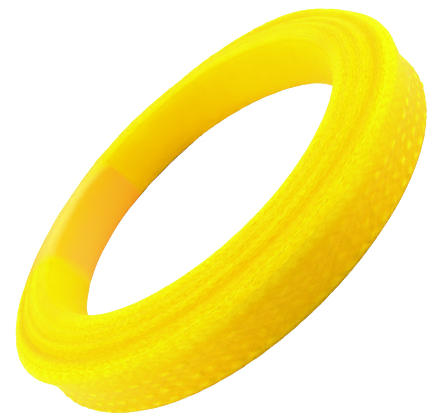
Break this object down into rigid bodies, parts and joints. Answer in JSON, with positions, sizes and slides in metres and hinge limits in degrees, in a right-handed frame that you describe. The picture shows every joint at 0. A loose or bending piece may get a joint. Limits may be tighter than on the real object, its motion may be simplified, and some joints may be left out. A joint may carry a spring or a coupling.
{
  "type": "padded juggling ring",
  "caption": "Thick padded ring for juggling, tossing and catching, with a ribbed sloping top, a raised rounded lip, a pinched waist and a stitched outer band of bright yellow cloth.",
  "frame": {"origin": "the ring's centre, on its axis at half its height", "axes": "+Z along the ring's axis, out of the ribbed face, so the ring rests on its flat base; the satin sleeve spans 106 to 156 degrees from +X towards +Y"},
  "size_m": [0.24, 0.24, 0.04],
  "materials": {
    "hoop_plastic": "satin",
    "joiner_plastic": "satin",
    "pin_plastic": "satin",
    "foam": "matte",
    "cord": "matte",
    "ribbed_knit": "matte",
    "stitched_knit": "matte",
    "lining": "matte",
    "sleeve_satin": "satin",
    "thread": "matte"
  },
  "bodies": {
    "root": {"core_hoop": "hoop_plastic", "hoop_joiner": "joiner_plastic", "joiner_pin_a": "pin_plastic", "joiner_pin_b": "pin_plastic", "foam_upper": "foam", "foam_lower": "foam", "rib_cord_inner": "cord", "rib_cord_middle": "cord", "rib_cord_outer": "cord", "top_cover": "ribbed_knit", "lip_binding": "ribbed_knit", "outer_band": "stitched_knit", "base_cover": "stitched_knit", "inner_lining": "lining", "joint_sleeve": "sleeve_satin", "inner_top_seam": "thread", "outer_top_seam": "thread", "waist_seam": "thread", "outer_base_seam": "thread", "inner_base_seam": "thread", "sleeve_seam_a": "thread", "sleeve_seam_b": "thread"}
  },
  "joints": []
}
